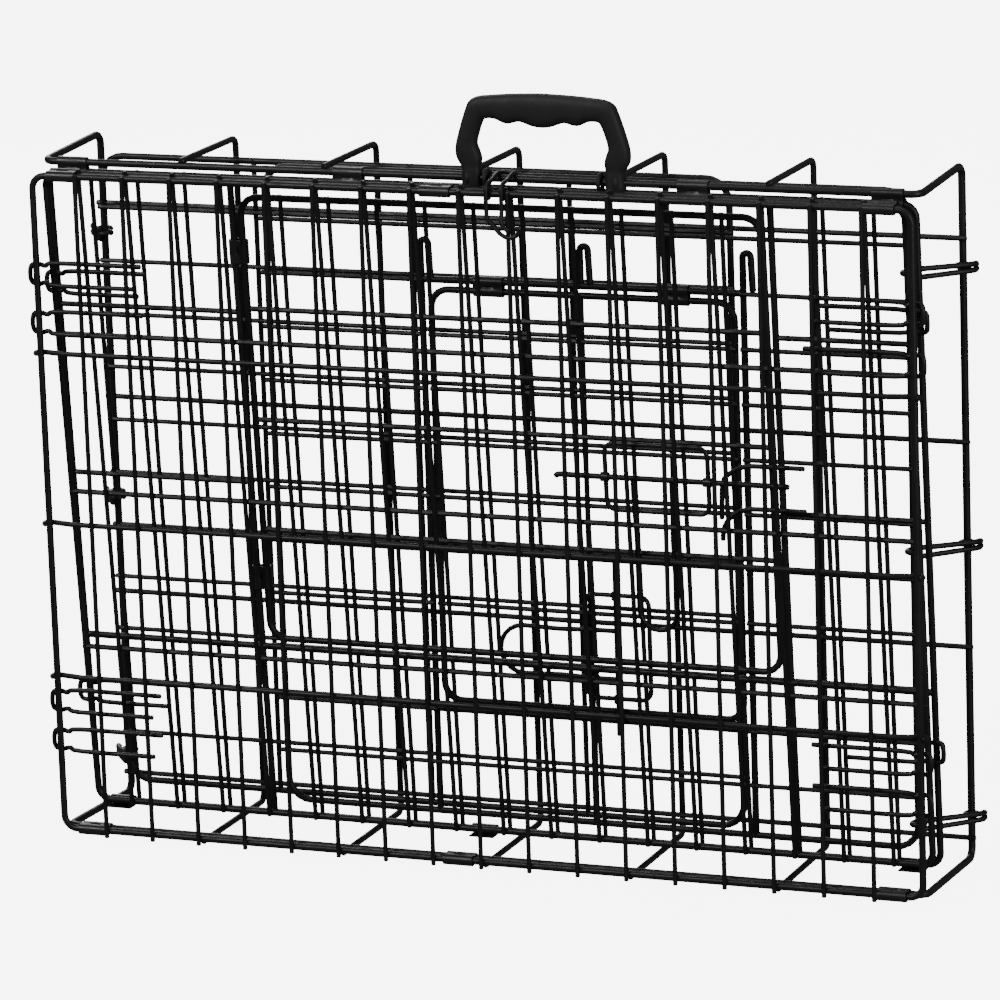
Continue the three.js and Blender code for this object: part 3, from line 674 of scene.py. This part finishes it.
def build_end_door():
    panel = Piece()
    low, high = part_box("end_door")
    y = RIGHT_Y
    plane = Plane((y, high.z), (y, low.z))
    x = centre_lines("end_door")
    ring(panel, plane, x, (FRAME / 2, plane.height - FRAME / 2), DOOR_BEND)
    middle = (x[0] + x[1]) / 2
    panel.rod((middle, y - ROW_OFFSET, low.z), (middle, y - ROW_OFFSET, high.z), MEDIUM)
    for i in range(END_OPENING_BARS[0] + 1, END_OPENING_BARS[1]):
        z = bar_z(i)
        panel.rod((low.x, y - COLUMN_OFFSET, z), (high.x, y - COLUMN_OFFSET, z), THIN)
        bar_welds(panel, [x[0], middle, x[1]], z, y)
    panel.done("end_door_wires", "end_door")


# ---- hinge clips: sheet crimped round two rails, tighter in the middle of the clip ----
PLACES = ("left", "middle", "right")
CLIP_STATIONS = (0, 0.12, 0.28, 0.38, 0.5, 0.62, 0.72, 0.88, 1)
CLIP_WAISTS = {"end": 0.8, "middle": 0.5}
CRIMPED = (0.3, 0.7)
WRAP_ARC = (-35, 215, 14)
OPEN_CLIP_EDGE = 4 * MM
OPEN_CLIP_LIP = 3 * MM
OPEN_CLIP_ARC = (-90, 115, 12)
DOOR_CLIP_HALF = 10 * MM
DOOR_CLIP_STATIONS = (-1, -0.75, -0.4, -0.25, 0, 0.25, 0.4, 0.75, 1)
DOOR_CLIP_WAISTS = {"end": 0.7, "middle": 0.35}
DOOR_CRIMP_HALF = 0.3


def wrap(a, b, across, waist):
    """The closed centre line of a sheet round rails at a and b; waist is its share of the grip."""
    along = (b - a).normalized() * CLIP_GRIP
    across = across * CLIP_GRIP
    middle = (a + b) / 2
    line = [*arc(b, across, along, *WRAP_ARC), middle - across * waist]
    return [*line, *arc(a, -across, -along, *WRAP_ARC), middle + across * waist]


def hinge_clip(node, rail, other_rail):
    """A sleeve round two rails along X, given as (y, z), a little longer than the CAD's clip."""
    low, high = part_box(node)
    start, end = low.x - CLIP_EXTRA, high.x + CLIP_EXTRA
    sections = []
    for share in CLIP_STATIONS:
        x = start + (end - start) * share
        a, b = Vector((x, *rail)), Vector((x, *other_rail))
        across = (b - a).cross(Vector((1, 0, 0))).normalized()
        waist = CLIP_WAISTS["middle" if CRIMPED[0] < share < CRIMPED[1] else "end"]
        sections.append(wrap(a, b, across, waist))
    clip = Piece()
    clip.sheet(sections, closed=True)
    clip.done(f"{node}_sheet", node)


def build_clips():
    for place in PLACES:
        hinge_clip(f"lower_hinge_clip_{place}", PLAIN_FOOT, LOWER_RAIL)
    for place in PLACES:
        hinge_clip(f"roof_hinge_clip_{place}", PLAIN_TOP, ROOF_TOP)
    for number in (1, 2, 3, 4):
        hinge_clip(f"upper_hinge_clip_{number}", UPPER_RAIL, DOOR_SIDE_TOP)
    end_door_rail = (RIGHT_Y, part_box("end_door")[1].z - FRAME / 2)
    for number in (1, 2):
        hinge_clip(f"end_door_hinge_clip_{number}", end_door_rail, (RIGHT_Y, END_OPENING_Z[1]))


def build_open_clips():
    """Clips at the foot of the door side, opened towards the roof's rail."""
    y, z = DOOR_SIDE_FOOT
    across, along = Vector((0, CLIP_GRIP, 0)), Vector((0, 0, CLIP_GRIP))
    for place in PLACES:
        node = f"open_hinge_clip_{place}"
        low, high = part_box(node)
        sections = []
        for x in (low.x, low.x + OPEN_CLIP_EDGE, high.x - OPEN_CLIP_EDGE, high.x):
            lip = [Vector((x, near, z - CLIP_GRIP)) for near in (OPEN_CLIP_NEAR, y - OPEN_CLIP_LIP)]
            sections.append(lip + arc(Vector((x, y, z)), across, along, *OPEN_CLIP_ARC))
        clip = Piece()
        clip.sheet(sections, closed=False)
        clip.done(f"{node}_sheet", node)


def build_side_door_clips():
    """Sleeves round a post of the door side and the side door's hinged wire."""
    door_x = centre_lines("side_door")[0]
    for number, down in enumerate(SIDE_DOOR_CLIPS, 1):
        node = f"side_door_hinge_clip_{number}"
        sections = []
        for share in DOOR_CLIP_STATIONS:
            level = down + share * DOOR_CLIP_HALF
            a, b = door_plane.at(DOOR_POSTS[0], level), door_plane.at(door_x, level)
            waist = DOOR_CLIP_WAISTS["middle" if abs(share) < DOOR_CRIMP_HALF else "end"]
            sections.append(wrap(a, b, door_plane.far, waist))
        clip = Piece()
        clip.sheet(sections, closed=True)
        clip.done(f"{node}_sheet", node)


# ---- links that hold the end panels to the tray: two wires from the panel to the tray's edge ----
LINK_GRIP = (HEAVY + MEDIUM) / 2 + 0.9 * MM
LINK_SPREAD = 3.6 * MM
LINK_COLLAR_ARC = (0, 330, 14)
# Points about the panel's hinged wire and about the tray's edge: outward, far, and away from the
# middle of the link.
LINK_AT_PANEL = ((1.5 * MM, -LINK_GRIP, 1 * MM), (LINK_GRIP, -0.4 * LINK_GRIP, 0))
LINK_AT_TRAY = (
    (1.2 * LINK_GRIP, -1.6 * LINK_GRIP, -1 * MM),
    (2.1 * LINK_GRIP, 0, -1.2 * MM),
    (1.9 * LINK_GRIP, 0.4 * LINK_GRIP, -3.4 * MM),
)


def build_link(node, side, panel_wire):
    """A link to the panel's hinged wire, given as (x, y)."""
    low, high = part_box(node)
    z = (low.z + high.z) / 2
    tray_wire = (side * TRAY_EDGE, TRAY_FAR)
    link = Piece()
    for level in (-1, 1):
        path = []
        for (x, y), points in ((panel_wire, LINK_AT_PANEL), (tray_wire, LINK_AT_TRAY)):
            centre = Vector((x, y, z + level * LINK_SPREAD))
            path += [centre + Vector((side * out, far, level * away)) for out, far, away in points]
        link.wire(smooth(path, 5), MEDIUM)
    across, along = Vector((LINK_GRIP, 0, 0)), Vector((0, LINK_GRIP, 0))
    for x, y in (tray_wire, panel_wire):
        link.wire(arc(Vector((x, y, z)), across, along, *LINK_COLLAR_ARC), MEDIUM)
    link.done(f"{node}_wire", node)


def build_links():
    left_wire = (centre_lines("left_end_panel")[0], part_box("left_end_panel")[1].y - FRAME / 2)
    for number in (1, 2, 3):
        build_link(f"left_end_link_{number}", -1, left_wire)
    for number in (1, 2, 3):
        build_link(f"right_end_link_{number}", 1, (RIGHT_HINGE_X, RIGHT_Y))


# ---- corner catches: hairpins that stand out past a panel's edge ----
# An arm from its root to the tip: (inward from the tip, in towards the other arm).
CATCH_ARM = ((24 * MM, 0), (14 * MM, 2.5 * MM), (7 * MM, 1 * MM), (1.5 * MM, 2 * MM))
CATCH_TIP_HALF = 3.5 * MM
CATCH_TIP_NEAR = 1 * MM
CATCH_SHORT = 8 * MM


def build_catch(node, side, lean=0.0):
    """A hairpin whose lower arm is the shorter; lean is how far it leans in y for its height."""
    low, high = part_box(node)
    middle = (low + high) / 2
    arm = (high.z - low.z) / 2 - THIN / 2
    tip = high.x if side > 0 else low.x
    long = high.x - low.x
    path = []
    for up, root in ((1, long), (-1, long - CATCH_SHORT)):
        half = [(root, arm, 0), *[(inward, arm - droop, 0) for inward, droop in CATCH_ARM]]
        half.append((0, CATCH_TIP_HALF, CATCH_TIP_NEAR))
        half = [
            Vector((tip - side * inward, middle.y + lean * up * rise - near, middle.z + up * rise))
            for inward, rise, near in half
        ]
        path += half[::up]
    catch = Piece()
    catch.wire(smooth(path, 4), THIN)
    catch.done(f"{node}_wire", node)


def build_catches():
    door_lean = door_plane.down.y / door_plane.down.z
    for name, side in (("left", -1), ("right", 1)):
        for level in ("upper_outer", "upper_inner", "lower_inner", "lower_outer"):
            build_catch(f"plain_side_catch_{level}_{name}", side)
        for level in ("upper", "lower"):
            build_catch(f"door_side_catch_{level}_{name}", side, door_lean)


# ---- slide bolts ----
BOLT = 4 * MM
BOLT_CLEAR = 1.1 * MM
LOOP_WIRE = 3.4 * MM
GUIDE_HALF = 44 * MM
GUIDE_TALL = 28 * MM
GUIDE_WIRE = 3.2 * MM
GUIDE_BEND = 8 * MM
SLEEVE_RADIUS = BOLT / 2 + 1.4 * MM
SLEEVE_STATIONS = (-3.4 * MM, -2 * MM, 0, 2 * MM, 3.4 * MM)
SLEEVE_ARC = (0, 337.5, 15)
# The rod's ends and the loop's legs, along the bolt from its middle; drop is the loop's reach.
SIDE_BOLT = {"rod": (-87 * MM, 113 * MM), "loop": (-20 * MM, 13 * MM), "drop": 128 * MM}
END_BOLT = {"rod": (-75 * MM, 75 * MM), "loop": (-14 * MM, 27 * MM), "drop": 103 * MM}
# Points on the nose: (along from the rod's start, across); and on a leg of the loop: (in towards
# the other leg, across).
BOLT_NOSE = ((0, -2 * MM), (3 * MM, 0), (12 * MM, 0))
LOOP_LEG = ((0, 1.5 * MM), (0, -20 * MM), (1 * MM, -50 * MM))


class Spots:
    """Turns (along, across, near) into places about a bolt's middle; the loop is at minus across."""

    def __init__(self, centre, along, across):
        self.centre = centre
        self.along = along
        self.across = across
        self.near = along.cross(across).normalized()
        if self.near.y >= 0:
            self.near = -self.near

    def at(self, a, c, n=0.0):
        return self.centre + self.along * a + self.across * c + self.near * n


def build_bolt(node, spots, rod, loop, drop):
    """A rod with a long finger loop."""
    bolt = Piece(BOLT_ENAMEL)
    nose = [spots.at(rod[0] + a, c) for a, c in BOLT_NOSE]
    bolt.wire([*smooth(nose, 3), spots.at(0, 0), spots.at(rod[1], 0)], BOLT)
    middle, wide = (loop[0] + loop[1]) / 2, (loop[1] - loop[0]) / 2
    left = [spots.at(loop[0] + a, c) for a, c in LOOP_LEG]
    right = [spots.at(loop[1] - a, c) for a, c in LOOP_LEG[::-1]]
    foot_centre = spots.at(middle, wide - drop)
    foot = arc(foot_centre, -spots.along * wide, -spots.across * wide, 0, 180, 10)
    bolt.wire(smooth(left, 3) + foot + smooth(right, 3), LOOP_WIRE)
    bolt.done(f"{node}_wire", node)


def build_guide(node, spots):
    """A wire frame behind the rod, with a sheet sleeve round the rod at each end."""
    guide = Piece(GUIDE_ENAMEL)
    behind = GUIDE_WIRE / 2 - SLEEVE_RADIUS
    corners = [(-1, -1), (1, -1), (1, 1), (-1, 1)]
    frame_path = [spots.at(a * GUIDE_HALF, c * GUIDE_TALL, behind) for a, c in corners]
    guide.wire(bent(frame_path, GUIDE_BEND, closed=True), GUIDE_WIRE, closed=True)
    across, along = spots.near * SLEEVE_RADIUS, spots.across * SLEEVE_RADIUS
    for side in (-1, 1):
        middles = [spots.at(side * GUIDE_HALF + shift, 0) for shift in SLEEVE_STATIONS]
        guide.sheet([arc(middle, across, along, *SLEEVE_ARC) for middle in middles], closed=True)
    guide.done(f"{node}_wire", node)


def build_bolts():
    along = Vector((1, 0, 0))
    low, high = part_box("side_door_bolt")
    down = door_plane.down_to(high.z - BOLT / 2)
    stand = (low.y + BOLT / 2) - door_plane.at(0, down).y
    centre = door_plane.at(high.x - SIDE_BOLT["rod"][1], down, stand - BOLT_CLEAR)
    spots = Spots(centre, along, -door_plane.down)
    build_bolt("side_door_bolt", spots, **SIDE_BOLT)
    build_guide("side_door_bolt_guide", spots)
    low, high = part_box("end_door_bolt")
    centre = Vector((high.x - BOLT / 2, (low.y + high.y) / 2, (low.z + high.z) / 2))
    spots = Spots(centre, Vector((0, 0, -1)), along)
    build_bolt("end_door_bolt", spots, **END_BOLT)
    build_guide("end_door_bolt_guide", spots)


# ---- closing hook: one wire doubled over, curled at its lower ends; in mm about the rail ----
HOOK_ARM = ((29, 12.2), (20, 12.4), (10, 9.6), (1, 8.8), (-4.4, 6), (-5.4, 0), (-5.2, -13))
HOOK_CURLS = (
    ((1, -6, -19), (6, -7, -24), (12, -8.5, -30), (19, -9, -33.5), (26, -8.5, -32), (28, -8, -28)),
    ((0, -7, -20), (2, -8, -25), (7, -8.5, -28.5)),
)
HOOK_BRIDGE = (30.5, 12.2)
HOOK_BRIDGE_SHARES = (0.3, 0.7)
HOOK_EYE = 4 * MM
HOOK_EYE_WIRE = 0.9 * THIN
HOOK_EYE_ARC = (130, -150, 12)


def build_hook():
    low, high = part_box("closing_hook")
    hook = Piece(HOOK_ENAMEL)
    xs = (low.x + THIN / 2, high.x - THIN / 2)

    def spot(x, a, b):
        return Vector((x, PLAIN_TOP[0] + a * MM, PLAIN_TOP[1] + b * MM))

    left, right = (
        smooth([spot(x, *p) for p in HOOK_ARM] + [spot(x + a * MM, b, c) for a, b, c in curl])
        for x, curl in zip(xs, HOOK_CURLS)
    )
    bridge = [spot(xs[0] + (xs[1] - xs[0]) * t, *HOOK_BRIDGE) for t in HOOK_BRIDGE_SHARES]
    hook.wire(left[::-1] + bridge + right, THIN)
    across, along = Vector((0, HOOK_EYE, 0)), Vector((0, 0, HOOK_EYE))
    for x in xs:
        hook.wire(arc(spot(x, 0, 0), across, along, *HOOK_EYE_ARC), HOOK_EYE_WIRE)
    hook.done("closing_hook_wire", "closing_hook")


# ---- carry handle, in mm about the upper rail: from the left foot to the middle of the grip, each
# row is the outer (x, z), the inner (x, z) and half the thickness ----
HANDLE_STATIONS = (
    ((-69.4, -8.5), (-53.6, -8.5), 6.0),
    ((-69.8, -4), (-53.2, -4), 6.6),
    ((-69.4, 5), (-53.4, 5), 6.6),
    ((-70.2, 10), (-53.6, 10), 6.4),
    ((-73.6, 16), (-52.8, 16), 6.8),
    ((-74.6, 22), (-54.6, 22.5), 7.0),
    ((-73.4, 30), (-56.4, 28.5), 7.0),
    ((-69.2, 44), (-53.6, 39), 7.0),
    ((-64.8, 56.4), (-50.8, 46), 7.2),
    ((-61.4, 62.8), (-48.8, 48.2), 7.4),
    ((-54.0, 66.4), (-45.0, 48.8), 7.5),
    ((-42.0, 67.8), (-39.0, 48.2), 7.5),
    ((-30.0, 68.8), (-30.0, 44.8), 7.6),
    ((-19.0, 69.4), (-19.0, 46.8), 7.6),
    ((-8.5, 69.8), (-8.5, 43.6), 7.6),
    ((0.0, 70.0), (0.0, 42.4), 7.6),
)


HANDLE_SIDES = 28
HANDLE_SQUARENESS = 0.72
HANDLE_SEAM = 0.25
HANDLE_FOOT_SHRINK = 0.86
COLLAR_INSET = 13 * MM
COLLAR_HALF_GAP = 7.5 * MM
COLLAR_RADIUS = 6.3 * MM
COLLAR_WIRE = 2.4 * MM
COLLAR_ARC = (0, 345, 23)


def handle_ring(outer, inner, depth):
    """A rounded rectangle between the outer and the inner edge, with a moulding seam on both."""
    middle, half = (outer + inner) / 2, (outer - inner) / 2
    line = []
    for k in range(HANDLE_SIDES):
        angle = math.tau * k / HANDLE_SIDES
        c, s = (math.copysign(abs(v) ** HANDLE_SQUARENESS, v) for v in (math.cos(angle), math.sin(angle)))
        seam = HANDLE_SEAM * (2 * k % HANDLE_SIDES == 0)
        line.append((middle + half * c * (1 + seam / half.length) + Vector((0, s * depth, 0))) * MM)
    return line


def build_handle():
    low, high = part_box("carry_handle")
    centre = Vector(((low.x + high.x) / 2, *UPPER_RAIL))
    stations = [*HANDLE_STATIONS]
    stations += [((-o[0], o[1]), (-i[0], i[1]), d) for o, i, d in stations[-2::-1]]
    outer = smooth([(o[0], 0, o[1]) for o, _, _ in stations])
    inner = smooth([(i[0], 0, i[1]) for _, i, _ in stations])
    depth = [d.x for d in smooth([(d, 0, 0) for _, _, d in stations])]
    rings = [handle_ring(*station) for station in zip(outer, inner, depth)]
    for number in (0, -1):
        middle = (outer[number] + inner[number]) / 2 * MM
        rings[number] = [middle + (p - middle) * HANDLE_FOOT_SHRINK for p in rings[number]]
    handle = Piece()
    handle.loft([[centre + p for p in ring] for ring in rings])
    across, along = Vector((0, COLLAR_RADIUS, 0)), Vector((0, 0, COLLAR_RADIUS))
    for foot_x in (low.x + COLLAR_INSET, high.x - COLLAR_INSET):
        for edge in (-1, 1):
            place = Vector((foot_x + edge * COLLAR_HALF_GAP, *UPPER_RAIL))
            handle.wire(arc(place, across, along, *COLLAR_ARC), COLLAR_WIRE, closed=True)
    handle.done("carry_handle_moulding", "carry_handle")


for build in (
    build_tray,
    build_left_end,
    build_right_end,
    build_end_door,
    build_door_side,
    build_side_door,
    build_roof,
    build_plain_side,
    build_clips,
    build_open_clips,
    build_side_door_clips,
    build_links,
    build_catches,
    build_bolts,
    build_hook,
    build_handle,
):
    build()


# ---- studio: a glowing pale floor, a world that only the camera sees bright, lights, camera ----
FLOOR_DROP = 0.5 * MM
FLOOR_SHADE = 0.9
FLOOR_GLOW = 6.6
WORLD_LIGHT = 0.1
WORLD_GLOW = 7.5

bpy.ops.mesh.primitive_plane_add(size=60, location=(0, 0, -FLOOR_DROP))
floor = bpy.context.object
floor.name = "floor"
floor.visible_glossy = False
floor.visible_diffuse = False
paper = bpy.data.materials.new("floor_paper")
paper.use_nodes = True
paper_inputs = paper.node_tree.nodes["Principled BSDF"].inputs
paper_inputs["Base Color"].default_value = (FLOOR_SHADE, FLOOR_SHADE, FLOOR_SHADE, 1)
paper_inputs["Roughness"].default_value = 0.9
paper_inputs["Specular IOR Level"].default_value = 0.1
paper_inputs["Emission Color"].default_value = (1, 1, 1, 1)
paper_inputs["Emission Strength"].default_value = FLOOR_GLOW
floor.data.materials.append(paper)

world = bpy.data.worlds.new("studio")
bpy.context.scene.world = world
world.use_nodes = True
world_nodes, world_links = world.node_tree.nodes, world.node_tree.links
soft = world_nodes["Background"]
soft.inputs["Color"].default_value = (1, 1, 1, 1)
soft.inputs["Strength"].default_value = WORLD_LIGHT
bright = world_nodes.new("ShaderNodeBackground")
bright.inputs["Strength"].default_value = WORLD_GLOW
choice = world_nodes.new("ShaderNodeMixShader")
world_links.new(world_nodes.new("ShaderNodeLightPath").outputs["Is Camera Ray"], choice.inputs["Fac"])
world_links.new(soft.outputs["Background"], choice.inputs[1])
world_links.new(bright.outputs["Background"], choice.inputs[2])
world_links.new(choice.outputs["Shader"], world_nodes["World Output"].inputs["Surface"])


def softbox(name, place, size, power):
    """A soft light that faces the crate's middle."""
    light = bpy.data.lights.new(name, "AREA")
    light.shape = "RECTANGLE"
    light.size, light.size_y = size
    light.energy = power
    lamp = bpy.data.objects.new(name, light)
    bpy.context.scene.collection.objects.link(lamp)
    lamp.location = place
    lamp.rotation_euler = (LIT - Vector(place)).to_track_quat("-Z", "Y").to_euler()


LIT = Vector((0, 0, 0.3))
softbox("key", (-1.6, -2.2, 2.4), (1.6, 1.2), 42)
softbox("fill", (2.6, -1.6, 1.2), (1.0, 1.8), 26)
softbox("top", (0.2, 0.3, 3.0), (2.2, 1.0), 12)
softbox("rear", (-1.8, 2.6, 1.8), (1.6, 1.4), 30)

# The camera looks at the crate's middle from its right and a little above, rolled slightly.
AZIMUTH = math.radians(21.93)
ELEVATION = math.radians(13.45)
ROLL = math.radians(-1.94)
DISTANCE = 4.985
TARGET = Vector((0, 0, 0.297))
FOCAL_LENGTH = 219
level_back = Vector((math.sin(AZIMUTH), -math.cos(AZIMUTH), 0))
back = level_back * math.cos(ELEVATION) + Vector((0, 0, math.sin(ELEVATION)))
right = (-back).cross(Vector((0, 0, 1))).normalized()
up = right.cross(-back)
turned_right = right * math.cos(ROLL) + up * math.sin(ROLL)
turned_up = up * math.cos(ROLL) - right * math.sin(ROLL)
camera_data = bpy.data.cameras.new("camera")
camera_data.sensor_width = 36
camera_data.lens = FOCAL_LENGTH
camera_data.clip_end = 200
camera = bpy.data.objects.new("camera", camera_data)
bpy.context.scene.collection.objects.link(camera)
turn = Matrix((turned_right, turned_up, back)).transposed().to_4x4()
camera.matrix_world = Matrix.Translation(TARGET + back * DISTANCE) @ turn
bpy.context.scene.camera = camera
